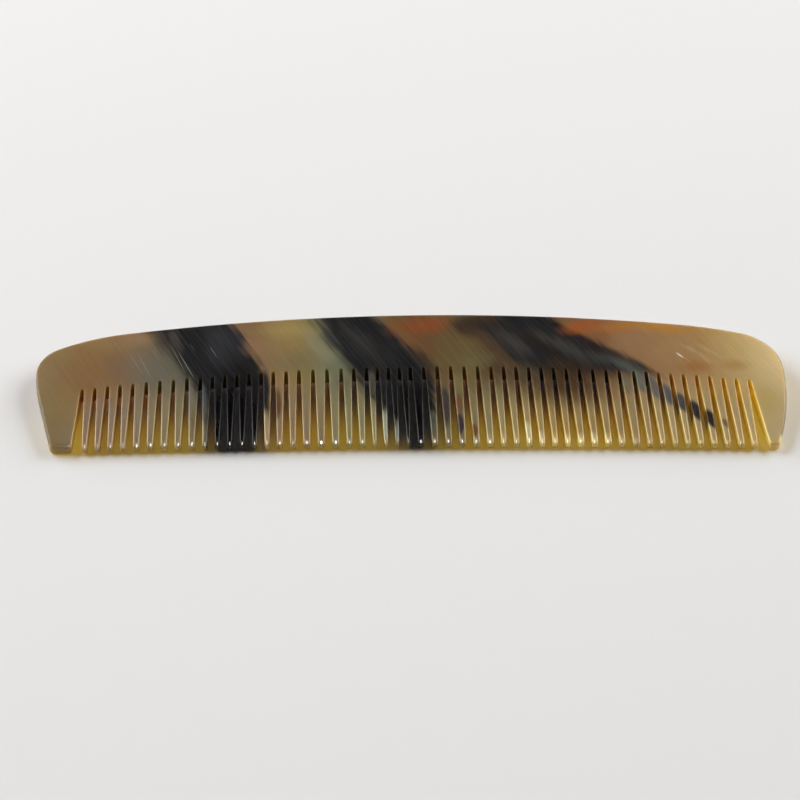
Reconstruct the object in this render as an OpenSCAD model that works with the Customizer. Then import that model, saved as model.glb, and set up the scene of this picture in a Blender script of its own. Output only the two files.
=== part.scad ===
// Pocket comb cut from one plate of horn, lying on its flat underside.
// X runs along the row of teeth, +Y points to the back of the comb, +Z is up.
// The origin is under the middle of the comb's bounding box.

/* [Plate] */
// Length of the comb over its two widest points
comb_len = 127; // [120:0.5:150]
// Height in plan, from the middle of the line of the tooth tips to the top of the back
comb_h = 31.45; // [30:0.05:36]
// Greatest thickness, near the back
back_t = 3.2; // [2.8:0.1:4]
// Thickness at the tooth tips
tip_t = 1.8; // [1.7:0.1:2.4]
// Radius of the rounded rim
rim_r = 0.8; // [0.4:0.05:0.8]

/* [Outline] */
// Radius of the arched back
back_r = 305; // [250:5:500]
// Where the back is highest, right of the middle
back_peak_x = 2; // [-4:0.1:4]
// Distance from the middle at which the left shoulder begins
left_shoulder_x = 49; // [44:0.5:50]
// Radius of the left shoulder
left_shoulder_r = 35; // [28:1:60]
// Radius of the left corner
left_corner_r = 6.4; // [3:0.1:8]
// Radius of the left end below its corner
left_end_r = 27; // [20:1:60]
// How far the left end leans in, in degrees
left_lean = 13.6; // [5:0.1:18]
// How far the left guard reaches past the middle of the line of the tips
left_foot = 0; // [-0.4:0.05:1]
// Distance from the middle at which the right shoulder begins
right_shoulder_x = 47; // [44:0.5:50]
// Radius of the right shoulder
right_shoulder_r = 62; // [40:1:80]
// Radius of the right corner
right_corner_r = 9.3; // [5:0.1:12]
// Radius of the right end below its corner
right_end_r = 49; // [30:1:60]
// How far the right end leans in, in degrees
right_lean = 19; // [10:0.1:20]
// How far the right guard reaches past the middle of the line of the tips
right_foot = 1.3; // [0.6:0.05:1.6]

/* [Teeth] */
// Slope of the line of the tips, falling to the right, in degrees
tips_slope = 0.55; // [0:0.05:1]
// Radius of the arched line of the tips
tips_r = 2000; // [1600:50:4000]
// Place of the first saw cut, from the middle
first_cut_x = -55.45; // [-55.8:0.05:-55]
// Height of the highest cut root above the tips
root_h = 17.55; // [16:0.05:20]
// Radius of the arched line of the roots
root_r = 362; // [300:2:800]
// Width of a cut at its root
cut_root_w = 0.62; // [0.5:0.02:0.7]
// Width of a cut at the tips
cut_tip_w = 1.24; // [1:0.02:1.3]
// How much wider the first cut opens on the side of the left guard
first_cut_flare = 0.4; // [0:0.1:0.6]
// How much wider the last cut opens on the side of the right guard
last_cut_flare = 0.6; // [0:0.1:0.8]
// Width of the ground edge of a tooth at its root
bevel_root = 0.12; // [0.05:0.01:0.15]
// Width of the ground edge of a tooth at its tip
bevel_tip = 0.26; // [0.15:0.01:0.28]
// Length of the rounded end of a tooth
nose_len = 0.7; // [0.5:0.05:1]

/* [Hidden] */

// The saw cuts are spaced by eye, so the row is a run of even stretches.
CUTS = 0;
PITCH = 1;
stretches = [
    // cuts, pitch
    [4, 2.09], [5, 2.26], [6, 2.04], [2, 2.16], [3, 2.38], [2, 2.14], [4, 1.86],
    [6, 2.29], [6, 2.12], [4, 2.26], [1, 2.45], [4, 2.09], [5, 2.22],
];

LEFT = -1;
RIGHT = 1;
half_len = comb_len / 2;
thick_y = 23;
thinning = 1.6;
past = 1;
cut_depth = back_t + 2 * past;
nose_half = 0.5 * nose_len;
rounding_runs = 4;
bar = 4;
bar_reach = 3;

function pick(side, left, right) = side == LEFT ? left : right;

// Unit vector that leans by angle a from +Y to one side
function leaning(side, a) = [side * sin(a), cos(a)];

// Height of the line of the tips at x
function tips_y(x) = -x * tan(tips_slope) - tips_r + sqrt(tips_r * tips_r - x * x);

// Height at x of the arched line of the roots
function root_y(x) = root_h - root_r + sqrt(root_r * root_r - pow(x - back_peak_x, 2));

// Thickness of the plate at height y, thinning in a soft curve to the tips
function plate_t(y) =
    back_t - (back_t - tip_t) * pow(max(0, thick_y - max(0, y)) / thick_y, thinning);

// The outline is a chain of arcs that run smoothly into each other: the back, and on each side
// a shoulder, a corner and an end. Angles are measured from +Y.
back_c = [back_peak_x, comb_h - back_r];
function shoulder_r(side) = pick(side, left_shoulder_r, right_shoulder_r);
function shoulder_a(side) =
    asin((pick(side, left_shoulder_x, right_shoulder_x) - side * back_peak_x) / back_r);
function shoulder_c(side) = back_c + (back_r - shoulder_r(side)) * leaning(side, shoulder_a(side));
function corner_r(side) = pick(side, left_corner_r, right_corner_r);
function corner_a(side) =
    asin((half_len - corner_r(side) - side * shoulder_c(side)[0]) / (shoulder_r(side) - corner_r(side)));
function corner_c(side) =
    shoulder_c(side) + (shoulder_r(side) - corner_r(side)) * leaning(side, corner_a(side));

// Middle of the rim on an arc
function rim_on(centre, r, side, a) = centre + (r - rim_r) * leaning(side, a);

// Middle of the rim on an end at height y, an arc that runs out into a straight lean
function end_rim(side, y) =
    let (r = pick(side, left_end_r, right_end_r),
         rim = r - rim_r,
         lean = pick(side, left_lean, right_lean),
         drop = corner_c(side)[1] - y,
         arc_drop = rim * sin(lean),
         inward = drop < arc_drop
             ? r - sqrt(rim * rim - drop * drop)
             : r - rim * cos(lean) + (drop - arc_drop) * tan(lean))
    [side * (half_len - inward), y];

// Middles of the rounded rim all round the plate
rim_path = [
    for (side = [LEFT, RIGHT])
        each concat(
            [for (i = [0 : 5]) rim_on(back_c, back_r, side, shoulder_a(side) * i / 5)],
            [for (i = [1 : 4]) rim_on(shoulder_c(side), shoulder_r(side), side,
                shoulder_a(side) + (corner_a(side) - shoulder_a(side)) * i / 4)],
            [for (i = [1 : 4]) rim_on(corner_c(side), corner_r(side), side,
                corner_a(side) + (90 - corner_a(side)) * i / 4)],
            [for (y = [2.5 : 3 : 14.5]) end_rim(side, y)],
            [end_rim(side, rim_r - pick(side, left_foot, right_foot))]
        )
];

// The bounding box is centred on the origin.
plate_foot = -max(left_foot, right_foot);
shift_y = -(comb_h + plate_foot) / 2;

// Distance of each saw cut from the first one
function stretch_start(k) =
    k == 0 ? 0 : stretch_start(k - 1) + stretches[k - 1][CUTS] * stretches[k - 1][PITCH];
cuts = concat(
    [0],
    [for (k = [0 : len(stretches) - 1], i = [1 : stretches[k][CUTS]])
        stretch_start(k) + i * stretches[k][PITCH]]
);
last = len(cuts) - 1;

// One upright stretch of the rim, rounded above and below
module rim_bead(p) {
    t = plate_t(p[1]);
    translate([p[0], p[1], 0])
        rotate_extrude($fn = 16)
            polygon(concat(
                [[0, 0]],
                [for (a = [-90 : 22.5 : 0]) [rim_r * cos(a), rim_r + rim_r * sin(a)]],
                [for (a = [0 : 22.5 : 90]) [rim_r * cos(a), t - rim_r + rim_r * sin(a)]],
                [[0, t]]
            ));
}

// The uncut plate
module plate() {
    hull()
        for (p = rim_path) rim_bead(p);
}

// One side of a saw cut seen from above, from its root to the rounded tooth end beside it
function cut_side(x, side, flare) =
    let (root = root_y(x) - cut_root_w / 2,
         tip = tips_y(x),
         w = cut_tip_w / 2 + flare)
    [
        [x + side * cut_root_w / 2, root],
        [x + side * w, tip + nose_len],
        [x + side * (w + nose_half / 3), tip + nose_len / 3],
        [x + side * (w + nose_half), tip],
        [x + side * (w + nose_half), tip - 2 * past],
    ];

function reversed(list) = [for (i = [len(list) - 1 : -1 : 0]) list[i]];

// The saw cut at x, which goes through the plate and has a round root
module saw_cut(x, left_flare, right_flare) {
    translate([0, 0, -past])
        linear_extrude(height = cut_depth) {
            translate([x, root_y(x) - cut_root_w / 2])
                circle(d = cut_root_w, $fn = 32);
            polygon(concat(
                cut_side(x, LEFT, left_flare),
                reversed(cut_side(x, RIGHT, right_flare))
            ));
        }
}

// A square bar on its edge, which grinds both edges of the cut at x on one face of the plate.
// Its lower edge runs from root_z over the root to tip_z over the tips.
module edge_cut(x, root_z, tip_z, face) {
    root = root_y(x);
    run = root - tips_y(x);
    translate([x, root, root_z])
        rotate([atan((root_z - tip_z) / run), 0, 0])
            translate([0, 0, face * bar / sqrt(2)])
                rotate([0, 45, 0])
                    translate([-bar / 2, -run - bar_reach, -bar / 2])
                        cube([bar, run + bar_reach, bar]);
}

// A cutter that trims the teeth from x0 to x1 to the line of the tips and rounds their ends
module rounding_run(x0, x1) {
    run = [x1 - x0, tips_y(x1) - tips_y(x0)];
    half_t = plate_t(nose_len) / 2;
    translate([x0, tips_y(x0), half_t])
        rotate([90, 0, 90 + atan2(run[1], run[0])])
            linear_extrude(height = norm(run))
                polygon(concat(
                    [[nose_len, -cut_depth], [-bar, -cut_depth], [-bar, cut_depth], [nose_len, cut_depth]],
                    [for (a = [90 : -22.5 : -90]) [nose_len * (1 - cos(a)), half_t * sin(a)]]
                ));
}

module comb() {
    root_depth = cut_root_w / 2 + bevel_root;
    tip_depth = cut_tip_w / 2 + bevel_tip;
    run = cuts[last] / rounding_runs;
    color("#8f7a52")
        translate([0, shift_y, 0])
            difference() {
                plate();
                for (i = [0 : rounding_runs - 1])
                    rounding_run(first_cut_x + i * run, first_cut_x + (i + 1) * run);
                for (i = [0 : last]) {
                    x = first_cut_x + cuts[i];
                    root_t = plate_t(root_y(x));
                    saw_cut(x, i == 0 ? first_cut_flare : 0, i == last ? last_cut_flare : 0);
                    edge_cut(x, root_t - root_depth, tip_t - tip_depth, 1);
                    edge_cut(x, root_depth, tip_depth, -1);
                }
            }
}

comb();
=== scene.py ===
import math

import bmesh
import bpy
from mathutils import Matrix, Vector


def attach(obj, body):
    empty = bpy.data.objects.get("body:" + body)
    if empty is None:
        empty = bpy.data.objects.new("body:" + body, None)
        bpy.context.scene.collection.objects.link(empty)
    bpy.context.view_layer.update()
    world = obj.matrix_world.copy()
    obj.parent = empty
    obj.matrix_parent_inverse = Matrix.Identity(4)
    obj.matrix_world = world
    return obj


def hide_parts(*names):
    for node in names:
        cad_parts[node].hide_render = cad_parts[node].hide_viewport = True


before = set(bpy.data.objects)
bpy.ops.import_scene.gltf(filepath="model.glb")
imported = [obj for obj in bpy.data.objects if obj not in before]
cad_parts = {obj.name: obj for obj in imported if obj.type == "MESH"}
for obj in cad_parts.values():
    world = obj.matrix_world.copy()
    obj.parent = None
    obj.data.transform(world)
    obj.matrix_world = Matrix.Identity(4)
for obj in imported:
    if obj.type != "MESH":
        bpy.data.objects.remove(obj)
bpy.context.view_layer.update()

bl_info = {
    "name": "Horn Pocket Comb",
    "version": (1, 0, 0),
    "blender": (4, 5, 0),
    "location": "3D View > Sidebar > Comb",
    "description": "Makes a pocket comb of polished horn, and the stage that it lies on",
    "category": "Mesh",
}

CAD_NODE = "comb"
PIECE = "horn_comb"
LEFT = -1
RIGHT = 1
MM = 0.001

# The saw cuts are spaced by eye, so the row is a run of even stretches: (cuts, pitch in mm)
STRETCHES = (
    (4, 2.09), (5, 2.26), (6, 2.04), (2, 2.16), (3, 2.38), (2, 2.14), (4, 1.86),
    (6, 2.29), (6, 2.12), (4, 2.26), (1, 2.45), (4, 2.09), (5, 2.22),
)

# Steps of the chart that the comb is laid out on
GUARD = 24               # columns of a guard
ARC = 4                  # columns over the root of a cut
SWING = 2                # rows of a tooth beside the round root of a cut
BEVEL = 3                # rows or columns of a ground edge
TOOTH = 2 * BEVEL + 2    # columns of a tooth
BODY = 8                 # rows between the roots and the rim
RIM = 4                  # rows of the rounded rim
SHANK = 13               # rows of a tooth above its rounded end
TAPER = 4                # rows of a tooth's tapered end above its rounded end
NOSE = 6                 # rows of the rounded end

# How the chart is laid on the comb
RIM_TIGHT = 0.65         # how tightly the rim is rounded, 1 for a quarter of a circle
NOSE_FULLNESS = 0.85     # how full a rounded end is, 1 for an even oval and less for a fuller one
CORNER_SHARE = 0.35      # how far round a corner the columns of the back begin
CREEP = 0.03 * MM        # how far the rows slip past each other where a tooth meets a root
SAME_PLACE = 0.001 * MM  # points nearer to each other than this are merged

# The grain of the horn leans this far from upright, down to the right, in degrees.
GRAIN = 27

# Patterns along the grain: width and length in mm, detail and seed. Horn fibres are about 0.1 mm
# wide, too fine to show in the render, so they are drawn twice as wide.
FIBRES = (0.22, 5, 4, 7)
STREAKS = (0.45, 11, 3, 19)
FRAYS = (0.7, 12, 2, 31)

# The colours wander in clouds of about 8 mm, and their edges fray, by so many mm across and up.
CLOUD_SCALE = 0.12
CLOUD_REACH = (2.0, 1.0, 0)
FRAY_REACH = (1.9, 0.8, 0)

# Values of the noise between which a fibre goes from dark to light, and a streak from none to pale
FIBRE_NOISE = (0.3, 0.7)
STREAK_NOISE = (0.4, 0.75)

# Brightness of the darkest and the lightest fibre, how much a streak adds, and a little off all over
FIBRE_LIGHT = (0.97, 1.03)
STREAK_LIGHT = 0.014
STREAK_LESS = -0.003

# Painted light and shade, as how much more or less red, green and blue than the polished faces: painted
# shade on the outer rim, painted light on the feet of the guards, painted highlights on the ground
# edges of the teeth, and on the sawn walls a clearer tint of the horn with a painted glow; and the
# least painted glow that the walls show
RIM_SHADE = (0.55, 0.54, 0.46)
FOOT_PAINTED_LIGHT = (1.5, 1.46, 1.1)
# Painted highlights on the ground edges of the teeth
EDGE_PAINTED_HIGHLIGHT = (1.6, 1.62, 1.75)
# The sawn walls: a clearer tint of the horn with a painted glow, and a least painted brown glow
WALL_TINT_AND_GLOW = (1.25, 1.32, 0.8)
WALL_BROWN_GLOW = (0.035, 0.018, 0.002)

# How far the normal points up or down where the painted light of an edge or a wall begins to show, and
# where it is full
EDGE_FACING = (0.99, 0.9)
WALL_FACING = (0.6, 0.2)

# Middle of the row of teeth, in mm, and where things begin and where they are full, in mm: the row
# from the guards inwards and from its top down, the guards from their feet up, the colours of the
# body from the teeth up, and to the right the clear end, which lets more light through
ROW_MIDDLE = 0.85
ROW_REACH = (57.8, 57.5)
ROW_TOP = (5, 4)
FOOT_TOP = (-15, -14)
BODY_FOOT = (-9, 2)
CLEAR_END = (36, 54)

# Clear horn along the comb: (x in mm, colour), over the body and down the teeth
BODY_COLOURS = (
    (-63, "#907a57"), (-58, "#8e7550"), (-54, "#8d704b"), (-50, "#8b6e4d"), (-47, "#836e54"),
    (-43, "#756b57"), (-38, "#676253"), (-27, "#846a4b"), (-22, "#8b7651"), (-18, "#84774f"),
    (-15, "#817e63"), (-12, "#6c6c57"), (0, "#6b4f33"), (5, "#6a5438"), (10, "#6c5c3c"),
    (14, "#544431"), (33, "#826043"), (38, "#94714e"), (44, "#9c7a55"), (50, "#a68556"),
    (56, "#bba16d"), (63, "#d6bf90"),
)
TEETH_COLOURS = (
    (-60, "#8d7b56"), (-54, "#8b7a67"), (-47, "#8b7d69"), (-40, "#897f63"), (-24, "#8e7b61"),
    (-16, "#8a7c60"), (-11, "#888365"), (8, "#7d7459"), (14, "#948966"), (24, "#9a875c"),
    (34, "#968460"), (44, "#a29471"), (54, "#a8966f"), (60, "#bba77a"),
)

# Black bands through the horn: how soft the left edge is in mm and its x as a + b y + c y squared,
# the same for the right edge, and the y over which the band fades out towards the tips
BANDS = (
    (1.8, (-37.5, -0.50, -0.0169), 1.1, (-25.0, -0.185, -0.0177), (-40, -30)),
    (1.5, (-9.5, -0.50, 0.003), 1.4, (3.1, -0.25, -0.0235), (-40, -30)),
    (1.8, (21.2, -1.222, 0.0556), 1.3, (41.8, -1.125, 0.0), (-2.5, 2.0)),
)

# Stains and clear patches of the body: x, y, half width, half length in mm, lean in degrees,
# colour, strength. How soft their edges are is a share of their half width.
STAIN_SOFT = 0.8
STAINS = (
    (-55, 1, 4.5, 5, 0, "#8a6a46", 0.6),
    (-57.5, -6, 1.8, 5, 10, "#94794b", 0.5),
    (-47, 10.5, 3, 1.8, 0, "#977a5a", 0.7),
    (-52, 9, 3.5, 1.8, -10, "#967f56", 0.4),
    (-49.5, 3, 2, 4, 15, "#7f6752", 0.5),
    (-44, 2, 3.5, 4.5, 25, "#716c60", 0.6),
    (-41, 4.5, 1.6, 5, 27, "#6a6655", 0.5),
    (-43, 9.5, 1, 3, 25, "#4e463c", 0.7),
    (-40.3, 10, 0.8, 3.2, 24, "#56524d", 0.6),
    (-32.5, 9.5, 2.6, 4.5, 20, "#3b3d3f", 0.6),
    (-33, 5, 1.6, 3.5, 20, "#38393c", 0.5),
    (-29.2, 10, 0.9, 4, 22, "#33303c", 0.5),
    (-27.6, 10.5, 0.9, 3.2, 20, "#8f6f50", 0.6),
    (-25.2, 4.5, 0.9, 4, 22, "#8a6e54", 0.55),
    (-26, 8, 2.2, 2.2, 20, "#94745a", 0.5),
    (-21, 12.3, 4.2, 2, 0, "#a58f58", 0.75),
    (-20, 9, 4, 2, 0, "#967f52", 0.4),
    (-16.8, 9, 0.9, 4.2, 22, "#8e876a", 0.6),
    (-14.2, 5, 1, 4.2, 27, "#878568", 0.65),
    (-13, 2.8, 1.6, 1.6, 0, "#6d7059", 0.6),
    (-19, 3.5, 4, 2, 0, "#7c7051", 0.5),
    (-13.8, 11, 0.8, 3.5, 22, "#454640", 0.6),
    (-9.8, 10.5, 1.3, 4.5, 27, "#3c3b38", 0.6),
    (-6.5, 7, 1, 4.5, 27, "#3a3835", 0.5),
    (2.8, 3.2, 1.1, 2.6, 30, "#2b2826", 0.8),
    (-2.6, 13.6, 1.2, 1.6, 30, "#7d5a36", 0.7),
    (2, 13.1, 4.4, 1.9, 12, "#8a4f2d", 0.8),
    (3.6, 12.3, 2, 1.4, 20, "#8c4a2a", 0.35),
    (-0.8, 10.2, 1.1, 3, 32, "#7c5838", 0.7),
    (2.3, 7.5, 0.9, 3.4, 32, "#6f4f34", 0.6),
    (6.5, 4.5, 3.2, 2.8, 30, "#6a5c3a", 0.6),
    (10.5, 3.5, 3, 2, 25, "#6f6746", 0.6),
    (10.2, 13, 3, 2.8, 25, "#382c22", 0.92),
    (14, 12, 3, 3.6, 30, "#2e2824", 0.9),
    (12.6, 9.5, 1.2, 4, 32, "#54412f", 0.6),
    (17.8, 8.5, 1.5, 4, 32, "#484542", 0.75),
    (21.8, 8, 0.8, 5.5, 38, "#2a221c", 0.7),
    (26, 7.2, 1.2, 5.6, 45, "#494640", 0.7),
    (30, 7.5, 0.9, 4.5, 45, "#38292a", 0.6),
    (33, 3.6, 1.1, 3.2, 60, "#474a45", 0.6),
    (25.5, 2.5, 1.1, 2.4, 50, "#3a2a20", 0.6),
    (36.6, 1.6, 1.1, 2.8, 55, "#585d57", 0.75),
    (30, 12.4, 3.2, 1.5, 18, "#a05a2c", 0.85),
    (35.5, 12, 3.5, 1.3, 8, "#a86b34", 0.75),
    (32.5, 10.2, 1.6, 1.8, 40, "#8a5c3a", 0.6),
    (44, 11.6, 5.5, 1.2, -8, "#b08036", 0.75),
    (38.5, 7.5, 3.5, 3.5, 40, "#967455", 0.6),
    (46, 7, 4.5, 2.8, 40, "#a08058", 0.5),
    (48.2, 1.6, 2.2, 1.3, 0, "#9b6b3c", 0.7),
    (55.2, 2, 2.2, 1.2, 0, "#a37f4a", 0.6),
    (49.2, 4.6, 0.35, 3.2, 42, "#bda27a", 0.55),
    (51.3, 5.2, 0.3, 2.6, 42, "#bda27a", 0.45),
    (59, -7, 1.6, 3, 0, "#b7a05a", 0.5),
    (26, -2, 6.6, 4.4, 0, "#443020", 0.85),
    (19, 0.3, 3.2, 2.2, 0, "#4a4434", 0.6),
    (28, -15, 7, 1.3, 0, "#d2c79c", 0.6),
    (-30.3, -9, 5, 9.5, 0, "#0b0a0d", 0.9),
    (-0.8, -8, 3.2, 8.5, 0, "#0f0d0e", 0.8),
    (13, -15, 4, 1.2, 0, "#bdb08c", 0.4),
)

# Spots on single teeth, in the same terms
SPOT_SOFT = 0.35
SPOTS = (
    (-37.6, -5, 0.8, 5, 0, "#75746c", 0.5),
    (-35.4, -6, 0.8, 4.5, 0, "#5c6163", 0.7),
    (-35.4, -12.5, 0.7, 2.6, 0, "#8a8770", 0.7),
    (-25, -3, 0.8, 4.6, 0, "#25252b", 0.95),
    (-25, -11.5, 0.8, 3.8, 0, "#a08e70", 0.9),
    (-22.9, -6, 0.7, 3.2, 0, "#5a4030", 0.85),
    (-20.8, -10.5, 0.25, 1.8, 0, "#7a634a", 0.6),
    (-7, -1.5, 0.8, 2.8, 0, "#5a564c", 0.7),
    (-4.9, -11, 0.8, 3.2, 0, "#8f958a", 0.7),
    (-2.8, -12.5, 0.6, 2.4, 0, "#777c76", 0.7),
    (3, -11, 0.7, 2.4, 0, "#5c5c52", 0.7),
    (5.2, -7, 0.8, 4.6, 0, "#3d3638", 0.85),
    (5.2, -0.5, 0.8, 1.6, 0, "#6d5b3a", 0.6),
    (7.4, -11, 0.6, 2.4, 0, "#3d3038", 0.9),
    (7.4, -6.5, 0.7, 2.2, 0, "#6e4c38", 0.7),
    (7.5, -1.5, 0.9, 2.5, 0, "#7d7352", 0.6),
    (9.7, -12.6, 0.5, 1.4, 0, "#6b4222", 0.8),
    (18.5, -13, 0.7, 2.2, 0, "#c0bca0", 0.7),
    (20.6, -14.5, 0.7, 1.6, 0, "#c2b29a", 0.6),
    (36, -2.2, 1, 2.6, 10, "#6c6b5c", 0.6),
    (38.4, -1.8, 1.1, 2.6, 15, "#636a64", 0.75),
    (40.6, -3.2, 1.1, 2.9, 18, "#5a5f62", 0.8),
    (42.8, -5, 1.1, 2.8, 18, "#54565c", 0.85),
    (45, -6.9, 1.1, 2.4, 20, "#403d44", 0.9),
    (47.1, -8.8, 1.1, 2.6, 22, "#30262b", 0.95),
    (49.4, -10.8, 1, 2.4, 22, "#2b1f20", 0.95),
    (51.7, -11.8, 0.5, 1.1, 20, "#6a5036", 0.8),
)

# Scratches from wear, in the same terms
SCRATCH_SOFT = 0.5
SCRATCHES = (
    (-38.3, 3.5, 0.06, 3.3, 23.4, "#c4bfb2", 0.55),
    (-39.8, 5.2, 0.06, 3.4, 21, "#aaa596", 0.4),
    (-46.8, 4, 0.06, 2.8, 26, "#b0a692", 0.35),
    (-45.6, 4, 0.06, 3.1, 22.6, "#b0a692", 0.35),
    (-43.6, 6.2, 0.05, 1.8, 26.6, "#b0a692", 0.3),
    (-33.8, 6.8, 0.06, 1.4, 24, "#9a9a96", 0.5),
    (-37.4, 8, 0.05, 1.1, 26, "#8a8884", 0.35),
    (46, 4.6, 0.16, 0.75, 38, "#f2ead6", 0.8),
    (47, 3.6, 0.05, 1.2, 38, "#d8c6a0", 0.4),
)

# Polished horn: its IOR is that of keratin, light goes about 2 mm into it, red furthest, its
# gloss is a little softer where the fibres are light, and the fibres hardly stand out from it.
HORN_IOR = 1.54
LIGHT_DEPTH = 2 * MM
LIGHT_SPREAD = (1.0, 0.8, 0.5)
GLOSS = (0.14, 0.2)
FIBRE_RELIEF = 0.1
FIBRE_HEIGHT = 0.02 * MM

# Stage: width of the camera's sensor in mm, the nearest and farthest that it sees in metres, side of
# the floor in metres, strength of the room's light, and the lights. A light's row is
# its name, degrees round from the back to the right and up, metres away, width and length in metres,
# watts, and whether it lights the colours and the gloss. Broad soft windows light the comb, dimmer
# panels near them give it its sheen, and a strip over the front makes the glints on the tooth tips.
SENSOR = 36
NEAREST = 0.01
FARTHEST = 50
FLOOR_SIDE = 6
ROOM_LIGHT = 0.008
LIGHTS = (
    ("left_window", -60, 24, 1.5, 1.6, 1.1, 40, True, False),
    ("right_window", 60, 24, 1.5, 1.6, 1.1, 30, True, False),
    ("front_fill", 180, 8, 1.5, 0.3, 0.3, 1, True, False),
    ("left_sheen", -70, 26, 1.5, 1.4, 1.1, 12, False, True),
    ("right_sheen", 70, 26, 1.5, 1.4, 1.1, 9, False, True),
    ("glint_strip", 180, 60, 1.0, 0.08, 0.7, 10, False, True),
)


def size(name, description, millimetres):
    """A length that the user can change, kept in metres."""
    return bpy.props.FloatProperty(
        name=name, description=description, default=millimetres * MM,
        unit="LENGTH", subtype="DISTANCE", precision=5,
    )


def turn(name, description, degrees):
    """An angle that the user can change, kept in radians."""
    return bpy.props.FloatProperty(
        name=name, description=description, default=math.radians(degrees),
        unit="ROTATION", subtype="ANGLE",
    )


def linear(code):
    """Turns an sRGB hex colour into Blender's linear colour."""
    parts = [int(code[i:i + 2], 16) / 255 for i in (1, 3, 5)]
    return [p / 12.92 if p <= 0.04045 else ((p + 0.055) / 1.055) ** 2.4 for p in parts] + [1.0]


def tint(name, description, code):
    """A colour that the user can change, given as sRGB hex."""
    return bpy.props.FloatVectorProperty(
        name=name, description=description, default=linear(code),
        size=4, subtype="COLOR", min=0.0, max=1.0,
    )


class PlateSizes(bpy.types.PropertyGroup):
    """Sizes of the plate of horn, as in the CAD model."""
    comb_len: size("Length", "Length over the two widest points", 127)
    comb_h: size("Height", "Height from the line of the tips to the top of the back", 31.45)
    back_t: size("Back thickness", "Greatest thickness, near the back", 3.2)
    tip_t: size("Tip thickness", "Thickness at the tooth tips", 1.8)
    thick_y: size("Full thickness from", "Height above the tips from which the plate is full", 23)
    thinning: bpy.props.FloatProperty(
        name="Thinning", description="How softly the plate thins to the tips", default=1.6)
    rim_r: size("Rim", "Radius of the rounded rim", 0.8)
    back_r: size("Back radius", "Radius of the arched back", 305)
    back_peak_x: size("Peak", "Where the back is highest, right of the middle", 2)
    left_shoulder_x: size("Left shoulder", "Where the left shoulder begins", 49)
    left_shoulder_r: size("Left shoulder radius", "Radius of the left shoulder", 35)
    left_corner_r: size("Left corner radius", "Radius of the left corner", 6.4)
    left_end_r: size("Left end radius", "Radius of the left end below its corner", 27)
    left_lean: turn("Left lean", "How far the left end leans in", 13.6)
    left_foot: size("Left foot", "How far the left guard reaches past the tips", 0)
    right_shoulder_x: size("Right shoulder", "Where the right shoulder begins", 47)
    right_shoulder_r: size("Right shoulder radius", "Radius of the right shoulder", 62)
    right_corner_r: size("Right corner radius", "Radius of the right corner", 9.3)
    right_end_r: size("Right end radius", "Radius of the right end below its corner", 49)
    right_lean: turn("Right lean", "How far the right end leans in", 19)
    right_foot: size("Right foot", "How far the right guard reaches past the tips", 1.3)


class TeethSizes(bpy.types.PropertyGroup):
    """Sizes of the saw cuts and teeth, as in the CAD model but for the fine edges and tapered ends."""
    tips_slope: turn("Tips slope", "Slope of the line of the tips, falling to the right", 0.55)
    tips_r: size("Tips radius", "Radius of the arched line of the tips", 2000)
    first_cut_x: size("First cut", "Place of the first saw cut, from the middle", -55.45)
    root_h: size("Root height", "Height of the highest cut root above the tips", 17.55)
    root_r: size("Roots radius", "Radius of the arched line of the roots", 362)
    cut_root_w: size("Cut at root", "Width of a cut at its root", 0.62)
    cut_tip_w: size("Cut at tips", "Width of a cut at the tips", 1.24)
    first_cut_flare: size("First flare", "How much wider the first cut opens at its guard", 0.4)
    last_cut_flare: size("Last flare", "How much wider the last cut opens at its guard", 0.6)
    bevel_root: size("Edge at root", "Width of the ground edge of a tooth at its root", 0.05)
    bevel_tip: size("Edge at tip", "Width of the ground edge of a tooth at its tip", 0.26)
    nose_len: size("Rounded end", "Length of the rounded end of a tooth", 0.7)
    taper_len: size("Tapered end", "Length over which a tooth gets thin to its tip", 1.4)


class HornColours(bpy.types.PropertyGroup):
    """Colours of the horn, and of the light that falls through it."""
    clear: tint("Clear horn", "Tint over the clear horn", "#ffffff")
    black: tint("Black horn", "Bands through the horn", "#262526")
    through_teeth: tint("Through teeth", "Light that comes through the teeth", "#d0bd52")
    through_body: tint("Through body", "Light that comes through the body", "#9c7020")
    through_black: tint("Through black", "Light that comes through black horn", "#20160c")


class StageSettings(bpy.types.PropertyGroup):
    """Floor, lights and camera."""
    floor: tint("Floor", "Plain pale floor", "#e6e5e4")
    lens: bpy.props.FloatProperty(
        name="Lens", description="Focal length for a 36 mm wide picture",
        default=98.63 * MM, unit="LENGTH", subtype="DISTANCE_CAMERA")
    pitch: turn("Pitch", "How far the camera looks down", 41.59)
    yaw: turn("Yaw", "How far the camera looks to the right", 3.176)
    roll: turn("Roll", "How far the camera is rolled", 1.403)
    place: bpy.props.FloatVectorProperty(
        name="Camera place", description="Where the camera stands",
        default=(-17.568 * MM, -279.295 * MM, 245.963 * MM), size=3,
        unit="LENGTH", subtype="TRANSLATION", precision=5)


def leaning(side, a):
    """Unit vector that leans by angle a from +Y to one side."""
    return Vector((side * math.sin(a), math.cos(a)))


def rounded(step, steps, radius, tight=1):
    """How far in and how far down a point of a rounded edge is, from its wall at step 0. An edge
    is a quarter of a circle where tight is 1, and comes nearer to a square corner below that."""
    a = math.radians(90) * (1 - step / steps)
    return radius * (1 - math.sin(a) ** tight), radius * (1 - max(0, math.cos(a)) ** tight)


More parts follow.
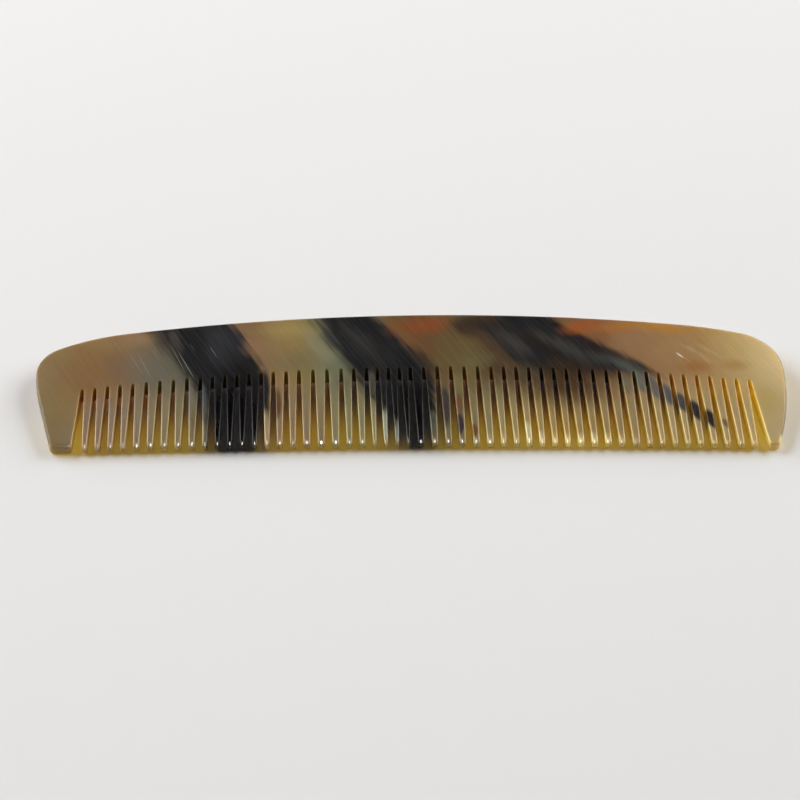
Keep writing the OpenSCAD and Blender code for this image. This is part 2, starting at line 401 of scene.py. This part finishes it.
class CombPlan:
    """The comb's shape, worked out from its sizes. Y is measured from the line of the tips."""

    def __init__(self, plate, teeth):
        self.plate = plate
        self.teeth = teeth
        self.cuts = [teeth.first_cut_x]
        for count, pitch in STRETCHES:
            for _ in range(count):
                self.cuts.append(self.cuts[-1] + pitch * MM)
        self.last = len(self.cuts) - 1
        self.columns = 2 * GUARD + len(self.cuts) * ARC + self.last * TOOTH
        self.rows = BEVEL + BODY + RIM
        self.root_round = teeth.cut_root_w / 2
        # A tooth begins half way up the round root on each side of it.
        self.join = self.root_round * math.radians(45)
        self.chains = {side: self.chain(side) for side in (LEFT, RIGHT)}
        foot = -max(plate.left_foot, plate.right_foot)
        self.shift_y = -(plate.comb_h + foot) / 2

    def of_side(self, side, name):
        return getattr(self.plate, ("left_" if side == LEFT else "right_") + name)

    def tips_y(self, x):
        t = self.teeth
        return -x * math.tan(t.tips_slope) - t.tips_r + math.sqrt(t.tips_r ** 2 - x ** 2)

    def root_y(self, x):
        t = self.teeth
        return t.root_h - t.root_r + math.sqrt(t.root_r ** 2 - (x - self.plate.back_peak_x) ** 2)

    def thickness(self, y):
        p = self.plate
        short = max(0, p.thick_y - max(0, y)) / p.thick_y
        return p.back_t - (p.back_t - p.tip_t) * short ** p.thinning

    def chain(self, side):
        """Half the outline: arcs of (centre, radius, first angle, last angle), angles from +Y."""
        p = self.plate
        half = p.comb_len / 2
        shoulder_r, corner_r, end_r = (
            self.of_side(side, name) for name in ("shoulder_r", "corner_r", "end_r"))
        back_c = Vector((p.back_peak_x, p.comb_h - p.back_r))
        shoulder_a = math.asin(
            (self.of_side(side, "shoulder_x") - side * p.back_peak_x) / p.back_r)
        shoulder_c = back_c + (p.back_r - shoulder_r) * leaning(side, shoulder_a)
        corner_a = math.asin(
            (half - corner_r - side * shoulder_c.x) / (shoulder_r - corner_r))
        corner_c = shoulder_c + (shoulder_r - corner_r) * leaning(side, corner_a)
        end_c = Vector((side * (half - end_r), corner_c.y))
        level = math.radians(90)
        return (
            (back_c, p.back_r, 0, shoulder_a),
            (shoulder_c, shoulder_r, shoulder_a, corner_a),
            (corner_c, corner_r, corner_a, level),
            (end_c, end_r, level, level + self.of_side(side, "lean")),
        )

    def rim_at(self, side, run):
        """Middle of the rounded rim and the way out of it, at a run along the outline from its peak."""
        rim_r = self.plate.rim_r
        for centre, radius, a0, a1 in self.chains[side]:
            a = a0 + run / radius
            if a <= a1:
                out = leaning(side, a)
                return centre + (radius - rim_r) * out, out
            run -= radius * (a1 - a0)
        out = leaning(side, a1)
        return centre + (radius - rim_r) * out + run * leaning(side, a1 + math.radians(90)), out

    def run_to_corner(self, side, share):
        """Run along the outline from its peak to a share of the way round the corner."""
        back, shoulder, corner, _ = self.chains[side]
        run = sum(radius * (a1 - a0) for _, radius, a0, a1 in (back, shoulder))
        return run + corner[1] * (corner[3] - corner[2]) * share

    def run_to_foot(self, side):
        """Run along the outline from its peak to the middle of the rim at the foot."""
        arcs = sum(radius * (a1 - a0) for _, radius, a0, a1 in self.chains[side])
        low, _ = self.rim_at(side, arcs)
        drop = low.y - (self.plate.rim_r - self.of_side(side, "foot"))
        return arcs + drop / math.cos(self.of_side(side, "lean"))

    def flank_ends(self, cut, side):
        """Where the straight side of a cut leaves its round root, and where the tooth rounds off."""
        t = self.teeth
        x = self.cuts[cut]
        flare = 0
        if cut == 0 and side == LEFT:
            flare = t.first_cut_flare
        if cut == self.last and side == RIGHT:
            flare = t.last_cut_flare
        top = Vector((x + side * self.root_round, self.root_y(x) - self.root_round))
        low = Vector((x + side * (t.cut_tip_w / 2 + flare), self.tips_y(x) + t.nose_len))
        return top, low

    def beside_cut(self, cut, side, along, step):
        """A point of the ground edge beside a cut, and its drop. Along runs up round the root from
        the top of the flank, or down the flank where it is negative."""
        t = self.teeth
        top, low = self.flank_ends(cut, side)
        if along >= 0:
            inset, drop = rounded(step, BEVEL, t.bevel_root)
            a = along / self.root_round
            way = Vector((side * math.cos(a), math.sin(a)))
            return Vector((self.cuts[cut], top.y)) + (self.root_round + inset) * way, drop
        down = low - top
        share = min(1, -along / down.length)
        bevel = t.bevel_root + (t.bevel_tip - t.bevel_root) * share
        inset, drop = rounded(step, BEVEL, bevel)
        return top + down.normalized() * -along + Vector((side * inset, 0)), drop

    def tooth_top(self, cut, column, row):
        """A point near the top of the tooth right of a cut, where it joins the body."""
        if column == BEVEL + 1:
            ends = [self.tooth_top(cut, BEVEL, row)[0], self.tooth_top(cut, BEVEL + 2, row)[0]]
            return (ends[0] + ends[1]) / 2, 0
        side, step, which = RIGHT, column, cut
        if column > BEVEL + 1:
            side, step, which = LEFT, TOOTH - column, cut + 1
        along = self.join + (row - step) * CREEP
        return self.beside_cut(which, side, along, max(row, step))

    def shank(self, cut, column, row):
        """A point of the tooth right of a cut, on a row from 0 at its top to SHANK at its nose."""
        if column == BEVEL + 1:
            ends = [self.shank(cut, BEVEL, row)[0], self.shank(cut, BEVEL + 2, row)[0]]
            return (ends[0] + ends[1]) / 2, 0
        side, step, which = RIGHT, column, cut
        if column > BEVEL + 1:
            side, step, which = LEFT, TOOTH - column, cut + 1
        if row < SWING:
            return self.beside_cut(which, side, self.join * (1 - row / SWING), step)
        top, low = self.flank_ends(which, side)
        full = (low - top).length
        tapered = self.teeth.taper_len - self.teeth.nose_len
        if row > SHANK - TAPER:
            down = full - tapered * (SHANK - row) / TAPER
        else:
            down = (full - tapered) * (row - SWING) / (SHANK - TAPER - SWING)
        return self.beside_cut(which, side, -down, step)

    def thin_at_tip(self, x, y):
        """Share of the thickness that is left in the tapered end of a tooth."""
        short = 1 - (y - self.tips_y(x)) / self.teeth.taper_len
        return math.sqrt(1 - min(1, max(0, short)) ** 2)

    def nose(self, cut, column, row):
        """A point of a tooth's rounded end, and its drop."""
        point, drop = self.shank(cut, column, SHANK)
        left, right = (self.shank(cut, c, SHANK)[0] for c in (0, TOOTH))
        middle = (left + right) / 2
        a = math.radians(90) * (1 - row / NOSE)
        drawn = math.sin(a) ** NOSE_FULLNESS
        tip = Vector((0, self.teeth.nose_len * math.cos(a)))
        return middle + (point - middle) * drawn - tip, drop

    def guard_inner(self, side, step, row):
        """A point of the ground edge on a guard's inner side. Step runs from the foot to the root."""
        cut = 0 if side == LEFT else self.last
        top, low = self.flank_ends(cut, side)
        foot_y = self.plate.rim_r - self.of_side(side, "foot")
        full = (top.y - foot_y) * (low - top).length / (top.y - low.y)
        low_steps = GUARD - SWING
        if step > low_steps:
            return self.beside_cut(cut, side, self.join * (step - low_steps) / SWING, row)
        return self.beside_cut(cut, side, -full * (low_steps - step) / (low_steps - RIM), row)

    def outer(self, column):
        """Middle of the rim and the way out of it at the outer end of a column."""
        for side, step in ((LEFT, column), (RIGHT, self.columns - column)):
            if step <= GUARD:
                share = max(0, step - RIM) / (GUARD - RIM)
                foot, corner = self.run_to_foot(side), self.run_to_corner(side, CORNER_SHARE)
                return self.rim_at(side, foot + (corner - foot) * share)
        x = self.inner(column, 0)[0].x
        first, last = self.inner(GUARD, 0)[0].x, self.inner(self.columns - GUARD, 0)[0].x
        runs = [side * self.run_to_corner(side, CORNER_SHARE) for side in (LEFT, RIGHT)]
        run = runs[0] + (runs[1] - runs[0]) * (x - first) / (last - first)
        return self.rim_at(LEFT if run < 0 else RIGHT, abs(run))

    def inner(self, column, row):
        """A point of the first rows, which go along the guards, round the roots and over the teeth."""
        for side, step in ((LEFT, column), (RIGHT, self.columns - column)):
            if step <= GUARD:
                return self.guard_inner(side, max(step, RIM), row)
        cut, step = divmod(column - GUARD, ARC + TOOTH)
        if step == 0:
            return self.tooth_top(cut - 1, TOOTH, row)
        if step >= ARC:
            return self.tooth_top(cut, step - ARC, row)
        inset, drop = rounded(row, BEVEL, self.teeth.bevel_root)
        a = math.radians(135 - 90 * step / ARC)
        centre = Vector((self.cuts[cut], self.flank_ends(cut, LEFT)[0].y))
        return centre + (self.root_round + inset) * Vector((math.cos(a), math.sin(a))), drop

    def body(self, column, row):
        """A point of the body, from the roots or a guard's inner side to the outline."""
        if row <= BEVEL:
            return self.inner(column, row)
        middle, out = self.outer(column)
        if row <= BEVEL + BODY:
            start, _ = self.inner(column, BEVEL)
            return start + (middle - start) * (row - BEVEL) / BODY, 0
        inset, drop = rounded(self.rows - row, RIM, self.plate.rim_r, RIM_TIGHT)
        return middle + (self.plate.rim_r - inset) * out, drop

    def foot(self, side, step, row):
        """A point of a guard's rounded foot. Step counts up from its lowest edge."""
        rim_r = self.plate.rim_r
        column = RIM if side == LEFT else self.columns - RIM
        inset, drop = rounded(step, RIM, rim_r, RIM_TIGHT)
        if BEVEL <= row <= BEVEL + BODY:
            point, _ = self.body(column, row)
            return point - Vector((0, rim_r - inset)), drop
        outside = row > BEVEL
        steps, far = (RIM, self.rows - row) if outside else (BEVEL, row)
        centre, _ = self.body(column, BEVEL + BODY if outside else BEVEL)
        low, beside = step / RIM, far / steps
        depth = min(low, beside)
        turned = 0.5 + (low - beside) / (2 * (1 - depth))
        a = math.radians(90) * (1 - depth)
        if outside:
            out_a = math.radians(90) + self.of_side(side, "lean")
            way = leaning(side, math.pi + (out_a - math.pi) * turned)
            reach, left = math.sin(a) ** RIM_TIGHT, max(0, math.cos(a)) ** RIM_TIGHT
            return centre + rim_r * reach * way, rim_r * (1 - left)
        bevel = self.teeth.bevel_tip
        turned *= math.radians(90)
        reach = Vector((-side * bevel * math.sin(turned), -rim_r * math.cos(turned)))
        share = math.sin(turned) ** 2
        radius = rim_r * (1 - share) + bevel * share
        tight = RIM_TIGHT * (1 - share) + share
        left = max(0, math.cos(a)) ** tight
        return centre + reach * math.sin(a) ** tight, radius * (1 - left)

    def place(self, column, row, above):
        """Where a point of the chart goes. Above is true on the upper face."""
        left = 1
        if row < 0:
            cut, step = divmod(column - GUARD - ARC, ARC + TOOTH)
            if -row <= SHANK:
                point, drop = self.shank(cut, step, -row)
            else:
                point, drop = self.nose(cut, step, -row - SHANK)
            left = 0 if row == -SHANK - NOSE else self.thin_at_tip(point.x, point.y)
        elif column < RIM:
            point, drop = self.foot(LEFT, column, row)
        elif self.columns - column < RIM:
            point, drop = self.foot(RIGHT, self.columns - column, row)
        else:
            point, drop = self.body(column, row)
        thick = self.thickness(point.y)
        z = thick - drop if above else drop
        z = thick / 2 + (z - thick / 2) * left
        return Vector((point.x, point.y + self.shift_y, z))


def deselect_all():
    """Leaves edit mode and deselects everything."""
    if bpy.context.object and bpy.context.object.mode != "OBJECT":
        bpy.ops.object.mode_set(mode="OBJECT")
    bpy.ops.object.select_all(action="DESELECT")


def select_edges(obj, wanted):
    """Selects, in edit mode, the edges of which both ends are wanted."""
    bpy.ops.mesh.select_mode(type="EDGE")
    bpy.ops.mesh.select_all(action="DESELECT")
    edit = bmesh.from_edit_mesh(obj.data)
    for edge in edit.edges:
        edge.select_set(all(wanted(v.co) for v in edge.verts))
    bmesh.update_edit_mesh(obj.data)


def extrude(*value):
    """Extrudes what is selected by x, y and z."""
    bpy.ops.mesh.extrude_region_move(TRANSFORM_OT_translate={"value": value})


def put_in_place(obj, plan):
    """Moves each point of the chart to its place on the comb, from level 0 to the upper face."""
    for vertex in obj.data.vertices:
        column, row, level = (round(c) for c in vertex.co)
        vertex.co = plan.place(column, row, level == 0)
    obj.data.update()


def apply_modifier(obj, kind, **settings):
    """Adds a modifier with its settings and applies it."""
    modifier = obj.modifiers.new(kind.title(), kind)
    for name, value in settings.items():
        setattr(modifier, name, value)
    bpy.ops.object.modifier_apply(modifier=modifier.name)


def add(tree, kind, inputs=None, **settings):
    """Adds a node with its settings. An input is a number, a colour or another node's socket."""
    made = tree.nodes.new(kind)
    for name, value in settings.items():
        setattr(made, name, value)
    for name, value in (inputs or {}).items():
        if isinstance(value, bpy.types.NodeSocket):
            tree.links.new(value, made.inputs[name])
        else:
            made.inputs[name].default_value = value
    return made


def stain(tree, below, place, x, y, wide, long, lean, colour, strength, soft):
    """Lays a soft oval of a colour over what is below it. Place is x and y in mm, and 1."""
    c, s = math.cos(math.radians(lean)), math.sin(math.radians(lean))
    shares = []
    for across, up, half in ((c, s, wide), (-s, c, long)):
        middle = x * across + y * up
        shares.append(add(tree, "ShaderNodeVectorMath", {
            0: place, 1: (across / half, up / half, -middle / half)},
            operation="DOT_PRODUCT").outputs["Value"])
    square = add(tree, "ShaderNodeMath", {0: shares[0], 1: shares[0]}, operation="MULTIPLY")
    far = add(tree, "ShaderNodeMath", {0: shares[1], 1: shares[1], 2: square.outputs[0]},
              operation="MULTIPLY_ADD")
    far = add(tree, "ShaderNodeMath", {0: far.outputs[0]}, operation="SQRT")
    share = add(tree, "ShaderNodeMapRange", {
        "Value": far.outputs[0], "From Min": 1 + soft, "From Max": 1 - soft,
        "To Max": strength}, interpolation_type="SMOOTHSTEP")
    return add(tree, "ShaderNodeMix", {
        0: share.outputs[0], 6: below, 7: linear(colour)}, data_type="RGBA").outputs[2]


def band(tree, below, x, y, colour, left_soft, left, right_soft, right, fade):
    """Lays a band with two curved, soft edges and a fading foot over what is below it."""
    shares = []
    for (start, slope, curve), soft in ((left, left_soft), (right, -right_soft)):
        slope = add(tree, "ShaderNodeMath", {0: y, 1: curve, 2: slope}, operation="MULTIPLY_ADD")
        edge = add(tree, "ShaderNodeMath", {0: y, 1: slope.outputs[0], 2: start},
                   operation="MULTIPLY_ADD")
        past = add(tree, "ShaderNodeMath", {0: x, 1: edge.outputs[0]}, operation="SUBTRACT")
        shares.append(add(tree, "ShaderNodeMapRange", {
            "Value": past.outputs[0], "From Min": -soft, "From Max": soft},
            interpolation_type="SMOOTHSTEP").outputs[0])
    both = add(tree, "ShaderNodeMath", {0: shares[0], 1: shares[1]}, operation="MULTIPLY")
    share = add(tree, "ShaderNodeMapRange", {
        "Value": y, "From Min": fade[0], "From Max": fade[1], "To Max": both.outputs[0]},
        interpolation_type="SMOOTHSTEP")
    return add(tree, "ShaderNodeMix", {
        0: share.outputs[0], 6: below, 7: colour}, data_type="RGBA").outputs[2]


def run_of_colours(tree, x, colours, over):
    """Colours along the comb under a tint, each running softly into the next."""
    low, high = colours[0][0], colours[-1][0]
    share = add(tree, "ShaderNodeMapRange", {"Value": x, "From Min": low, "From Max": high})
    ramp = add(tree, "ShaderNodeValToRGB", {"Fac": share.outputs[0]})
    stops = ramp.color_ramp.elements
    for place, _ in colours[1:-1]:
        stops.new((place - low) / (high - low))
    for stop, (_, colour) in zip(stops, colours):
        stop.color = [part * tone for part, tone in zip(linear(colour), over)]
    return ramp.outputs[0]


def along_grain(tree, place, wide, long, detail, seed):
    """Noise in streaks that follow the grain, of a width and length in mm."""
    stretched = add(tree, "ShaderNodeMapping", {
        "Vector": place, "Location": (seed, seed, 0), "Rotation": (0, 0, math.radians(GRAIN)),
        "Scale": (wide, long, 1)}, vector_type="TEXTURE")
    return add(tree, "ShaderNodeTexNoise", {
        "Vector": stretched.outputs[0], "Scale": 1, "Detail": detail},
        noise_dimensions="2D").outputs[0]


def wander(tree, flat):
    """Moves the places of the colours a little in clouds, and frays their edges along the grain."""
    clouds = add(tree, "ShaderNodeTexNoise", {"Vector": flat, "Scale": CLOUD_SCALE, "Detail": 2},
                 noise_dimensions="2D").outputs[0]
    frays = along_grain(tree, flat, *FRAYS)
    horn = flat
    for noise, reach in ((clouds, CLOUD_REACH), (frays, FRAY_REACH)):
        off = add(tree, "ShaderNodeMath", {0: noise, 1: 0.5}, operation="SUBTRACT")
        shift = add(tree, "ShaderNodeVectorMath", {0: reach, "Scale": off.outputs[0]},
                    operation="SCALE")
        horn = add(tree, "ShaderNodeVectorMath", {0: horn, 1: shift.outputs[0]}).outputs[0]
    return horn


def with_fibres(tree, colour, flat, fibres, upward):
    """Fine fibres, lighter and darker, and in the body paler streaks, which show most on black."""
    streaks = along_grain(tree, flat, *STREAKS)
    light = add(tree, "ShaderNodeMapRange", {
        "Value": fibres, "From Min": FIBRE_NOISE[0], "From Max": FIBRE_NOISE[1],
        "To Min": FIBRE_LIGHT[0], "To Max": FIBRE_LIGHT[1]})
    pale = add(tree, "ShaderNodeMapRange", {
        "Value": streaks, "From Min": STREAK_NOISE[0], "From Max": STREAK_NOISE[1],
        "To Max": upward})
    pale = add(tree, "ShaderNodeMath", {0: pale.outputs[0], 1: STREAK_LIGHT, 2: STREAK_LESS},
               operation="MULTIPLY_ADD")
    return add(tree, "ShaderNodeVectorMath", {
        0: colour, 1: light.outputs[0], 2: pale.outputs[0]}, operation="MULTIPLY_ADD").outputs[0]


def with_painted_edge_light(tree, colour, x, y, upward):
    """Painted highlights on the ground edges of the teeth, and on the sawn walls the clearer inside of
    the horn with a painted glow; painted light on the feet of the guards and painted shade on the outer
    rim."""
    facing = add(tree, "ShaderNodeSeparateXYZ", {
        0: add(tree, "ShaderNodeNewGeometry").outputs["Normal"]})
    steep = add(tree, "ShaderNodeMath", {0: facing.outputs[2]}, operation="ABSOLUTE")
    aside = add(tree, "ShaderNodeMath", {0: x, 1: ROW_MIDDLE}, operation="SUBTRACT")
    aside = add(tree, "ShaderNodeMath", {0: aside.outputs[0]}, operation="ABSOLUTE")
    front = add(tree, "ShaderNodeMapRange", {
        "Value": y, "From Min": ROW_TOP[0], "From Max": ROW_TOP[1]})
    in_row = add(tree, "ShaderNodeMapRange", {
        "Value": aside.outputs[0], "From Min": ROW_REACH[0], "From Max": ROW_REACH[1],
        "To Max": front.outputs[0]})
    low = add(tree, "ShaderNodeMath", {0: 1, 1: upward}, operation="SUBTRACT")
    on_teeth = add(tree, "ShaderNodeMath", {0: in_row.outputs[0], 1: low.outputs[0]},
                   operation="MULTIPLY")
    # The feet of the guards get painted light, the rest of the outer rim painted shade, and the ground
    # edges of the teeth painted highlights.
    above_foot = add(tree, "ShaderNodeMapRange", {
        "Value": y, "From Min": FOOT_TOP[0], "From Max": FOOT_TOP[1]})
    outer = add(tree, "ShaderNodeMix", {
        "Factor": above_foot.outputs[0], 4: FOOT_PAINTED_LIGHT, 5: RIM_SHADE}, data_type="VECTOR")
    painted_gain = add(tree, "ShaderNodeMix", {
        "Factor": on_teeth.outputs[0], 4: outer.outputs[1], 5: EDGE_PAINTED_HIGHLIGHT}, data_type="VECTOR")
    edge = add(tree, "ShaderNodeMapRange", {
        "Value": steep.outputs[0], "From Min": EDGE_FACING[0], "From Max": EDGE_FACING[1]},
        interpolation_type="SMOOTHSTEP")
    # The sawn walls get a clearer tint of the horn with a painted glow of the light through it.
    wall = add(tree, "ShaderNodeMapRange", {
        "Value": steep.outputs[0], "From Min": WALL_FACING[0], "From Max": WALL_FACING[1],
        "To Max": in_row.outputs[0]}, interpolation_type="SMOOTHSTEP")
    edges = add(tree, "ShaderNodeVectorMath", {0: colour, 1: painted_gain.outputs[1]},
                operation="MULTIPLY")
    walls = add(tree, "ShaderNodeVectorMath", {0: colour, 1: WALL_TINT_AND_GLOW, 2: WALL_BROWN_GLOW},
                operation="MULTIPLY_ADD")
    with_edge_highlight = add(tree, "ShaderNodeMix", {
        "Factor": edge.outputs[0], 4: colour, 5: edges.outputs[0]}, data_type="VECTOR")
    return add(tree, "ShaderNodeMix", {
        "Factor": wall.outputs[0], 4: with_edge_highlight.outputs[1], 5: walls.outputs[0]},
        data_type="VECTOR").outputs[1]


def light_through(tree, colours, x, y, upward):
    """Light that falls through the horn comes out amber, less of it under the body but for the
    clear right end, and hardly any gets through the bands."""
    deep = add(tree, "ShaderNodeMapRange", {
        "Value": x, "From Min": CLEAR_END[0], "From Max": CLEAR_END[1], "To Min": upward,
        "To Max": 0})
    passed = add(tree, "ShaderNodeMix", {
        0: deep.outputs[0], 6: colours.through_teeth, 7: colours.through_body},
        data_type="RGBA").outputs[2]
    for row in BANDS:
        passed = band(tree, passed, x, y, colours.through_black, *row)
    return add(tree, "ShaderNodeBsdfTransparent", {"Color": passed})


def horn_material(colours):
    """Polished cattle horn: clear and amber, with black bands that follow the grain. Light goes in and
    comes out of the cut sides of the teeth warm and bright, and more is painted on them as glow, with
    painted highlights on the ground edges and painted shade on the rim."""
    material = bpy.data.materials.new("polished_horn")
    material.use_nodes = True
    tree = material.node_tree
    tree.nodes.clear()
    place = add(tree, "ShaderNodeTexCoord").outputs["Object"]
    flat = add(tree, "ShaderNodeMapping", {
        "Vector": place, "Location": (0, 0, 1), "Scale": (1 / MM, 1 / MM, 0)}).outputs[0]
    horn = wander(tree, flat)
    horn_x, horn_y = add(tree, "ShaderNodeSeparateXYZ", {0: horn}).outputs[:2]
    flat_x, flat_y = add(tree, "ShaderNodeSeparateXYZ", {0: flat}).outputs[:2]

    body = run_of_colours(tree, horn_x, BODY_COLOURS, colours.clear)
    teeth = run_of_colours(tree, horn_x, TEETH_COLOURS, colours.clear)
    upward = add(tree, "ShaderNodeMapRange", {
        "Value": flat_y, "From Min": BODY_FOOT[0], "From Max": BODY_FOOT[1]},
        interpolation_type="SMOOTHSTEP").outputs[0]
    colour = add(tree, "ShaderNodeMix", {0: upward, 6: teeth, 7: body}, data_type="RGBA").outputs[2]
    for row in BANDS:
        colour = band(tree, colour, horn_x, horn_y, colours.black, *row)
    for row in STAINS:
        colour = stain(tree, colour, horn, *row, soft=STAIN_SOFT)
    for row in SPOTS:
        colour = stain(tree, colour, flat, *row, soft=SPOT_SOFT)
    for row in SCRATCHES:
        colour = stain(tree, colour, flat, *row, soft=SCRATCH_SOFT)
    fibres = along_grain(tree, flat, *FIBRES)
    colour = with_fibres(tree, colour, flat, fibres, upward)
    # Painted highlights, glow and shade on the edges, walls, feet and rim
    colour = with_painted_edge_light(tree, colour, flat_x, flat_y, upward)

    rough = add(tree, "ShaderNodeMapRange", {
        "Value": fibres, "From Min": FIBRE_NOISE[0], "From Max": FIBRE_NOISE[1],
        "To Min": GLOSS[0], "To Max": GLOSS[1]})
    bump = add(tree, "ShaderNodeBump", {
        "Height": fibres, "Strength": FIBRE_RELIEF, "Distance": FIBRE_HEIGHT})
    shader = add(tree, "ShaderNodeBsdfPrincipled", {
        "Base Color": colour,
        "Roughness": rough.outputs[0],
        "Normal": bump.outputs[0],
        "IOR": HORN_IOR,
        "Subsurface Weight": 1.0,
        "Subsurface Radius": LIGHT_SPREAD,
        "Subsurface Scale": LIGHT_DEPTH,
    })
    through = light_through(tree, colours, flat_x, flat_y, upward)
    ray = add(tree, "ShaderNodeLightPath")
    mixed = add(tree, "ShaderNodeMixShader", {
        0: ray.outputs["Is Shadow Ray"], 1: shader.outputs[0], 2: through.outputs[0]})
    add(tree, "ShaderNodeOutputMaterial", {"Surface": mixed.outputs[0]})
    return material


def paper_material(colour):
    """Matt paper: a pale, even ground with no gloss, which shows only the light that reaches it."""
    material = bpy.data.materials.new("pale_paper")
    material.use_nodes = True
    tree = material.node_tree
    tree.nodes.clear()
    shader = add(tree, "ShaderNodeBsdfPrincipled", {
        "Base Color": colour, "Roughness": 0.9, "Specular IOR Level": 0.0})
    add(tree, "ShaderNodeOutputMaterial", {"Surface": shader.outputs[0]})
    return material


class COMB_OT_make_comb(bpy.types.Operator):
    """Models the horn comb and gives it its finish"""
    bl_idname = "comb.make_comb"
    bl_label = "Make Horn Comb"
    bl_options = {"REGISTER", "UNDO"}

    def execute(self, context):
        scene = context.scene
        plan = CombPlan(scene.comb_plate, scene.comb_teeth)
        deselect_all()
        # The comb is laid out flat on a chart first: x counts the columns, y the rows.
        bpy.ops.mesh.primitive_grid_add(
            x_subdivisions=plan.columns, y_subdivisions=plan.rows, size=1, location=(0, 0, 0))
        comb = context.object
        comb.name = comb.data.name = PIECE
        comb.scale = (plan.columns, plan.rows, 1)
        comb.location = (plan.columns / 2, plan.rows / 2, 0)
        bpy.ops.object.transform_apply(location=True, rotation=True, scale=True)
        bpy.ops.object.mode_set(mode="EDIT")

        def tooth_root(point):
            """Whether a tooth begins at this point of the chart's lowest row."""
            step = (round(point.x) - GUARD) % (ARC + TOOTH)
            inside = GUARD + ARC <= round(point.x) <= plan.columns - GUARD - ARC
            return inside and round(point.y) == 0 and (step >= ARC or step == 0)

        # Each tooth is drawn out row by row, and then the whole sheet gets its second face.
        select_edges(comb, tooth_root)
        for _ in range(SHANK + NOSE):
            extrude(0, -1, 0)
        bpy.ops.mesh.select_all(action="SELECT")
        extrude(0, 0, -1)
        bpy.ops.object.mode_set(mode="OBJECT")
        put_in_place(comb, plan)
        bpy.ops.object.mode_set(mode="EDIT")
        bpy.ops.mesh.select_all(action="SELECT")
        bpy.ops.mesh.remove_doubles(threshold=SAME_PLACE)
        bpy.ops.mesh.normals_make_consistent(inside=False)
        bpy.ops.mesh.select_all(action="DESELECT")
        bpy.ops.object.mode_set(mode="OBJECT")
        bpy.ops.object.shade_smooth()
        apply_modifier(comb, "WEIGHTED_NORMAL", mode="FACE_AREA", weight=50)
        comb.data.materials.append(horn_material(scene.comb_colours))
        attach(comb, "root")
        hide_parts(CAD_NODE)
        return {"FINISHED"}


class COMB_OT_make_stage(bpy.types.Operator):
    """Sets up the floor, the lights and the camera"""
    bl_idname = "comb.make_stage"
    bl_label = "Make Stage"
    bl_options = {"REGISTER", "UNDO"}

    def execute(self, context):
        scene = context.scene
        settings = scene.comb_stage
        deselect_all()
        bpy.ops.mesh.primitive_plane_add(size=FLOOR_SIDE, location=(0, 0, 0))
        floor = context.object
        floor.name = floor.data.name = "floor"
        floor.data.materials.append(paper_material(settings.floor))

        scene.view_settings.view_transform = "Standard"
        world = bpy.data.worlds.new("dim_room")
        scene.world = world
        world.use_nodes = True
        background = world.node_tree.nodes["Background"]
        background.inputs["Color"].default_value = (1, 1, 1, 1)
        background.inputs["Strength"].default_value = ROOM_LIGHT

        for name, around, up, away, wide, long, watts, diffuse, glossy in LIGHTS:
            around, up = math.radians(around), math.radians(up)
            place = away * Vector((
                math.cos(up) * math.sin(around), math.cos(up) * math.cos(around), math.sin(up)))
            bpy.ops.object.light_add(type="AREA", location=place)
            light = context.object
            light.name = light.data.name = name
            light.data.shape = "RECTANGLE"
            light.data.size = wide
            light.data.size_y = long
            light.data.energy = watts
            light.visible_diffuse = diffuse
            light.visible_glossy = glossy
            light.rotation_euler = place.to_track_quat("Z", "Y").to_euler()

        bpy.ops.object.camera_add(location=settings.place)
        camera = context.object
        camera.name = camera.data.name = "camera"
        camera.rotation_mode = "QUATERNION"
        level = math.radians(90)
        looking = (
            Matrix.Rotation(-settings.yaw, 3, "Z")
            @ Matrix.Rotation(level - settings.pitch, 3, "X")
            @ Matrix.Rotation(settings.roll, 3, "Z"))
        camera.rotation_quaternion = looking.to_quaternion()
        camera.data.sensor_width = SENSOR
        camera.data.lens = settings.lens / MM
        camera.data.clip_start = NEAREST
        camera.data.clip_end = FARTHEST
        scene.camera = camera
        return {"FINISHED"}


class VIEW3D_PT_comb(bpy.types.Panel):
    """Sizes and colours of the comb and its stage"""
    bl_label = "Horn Comb"
    bl_idname = "VIEW3D_PT_comb"
    bl_space_type = "VIEW_3D"
    bl_region_type = "UI"
    bl_category = "Comb"

    def draw(self, context):
        layout = self.layout
        for operator, groups in (
            (COMB_OT_make_comb, ("comb_plate", "comb_teeth", "comb_colours")),
            (COMB_OT_make_stage, ("comb_stage",)),
        ):
            layout.operator(operator.bl_idname)
            for name in groups:
                group = getattr(context.scene, name)
                box = layout.box()
                for prop in group.bl_rna.properties.keys():
                    if prop not in ("rna_type", "name"):
                        box.prop(group, prop)


GROUPS = {
    "comb_plate": PlateSizes,
    "comb_teeth": TeethSizes,
    "comb_colours": HornColours,
    "comb_stage": StageSettings,
}
CLASSES = (*GROUPS.values(), COMB_OT_make_comb, COMB_OT_make_stage, VIEW3D_PT_comb)


def register():
    for cls in CLASSES:
        bpy.utils.register_class(cls)
    for name, group in GROUPS.items():
        setattr(bpy.types.Scene, name, bpy.props.PointerProperty(type=group))


def unregister():
    for name in GROUPS:
        delattr(bpy.types.Scene, name)
    for cls in reversed(CLASSES):
        bpy.utils.unregister_class(cls)


def main():
    register()
    bpy.ops.comb.make_comb()
    bpy.ops.comb.make_stage()


if __name__ == "__main__":
    main()
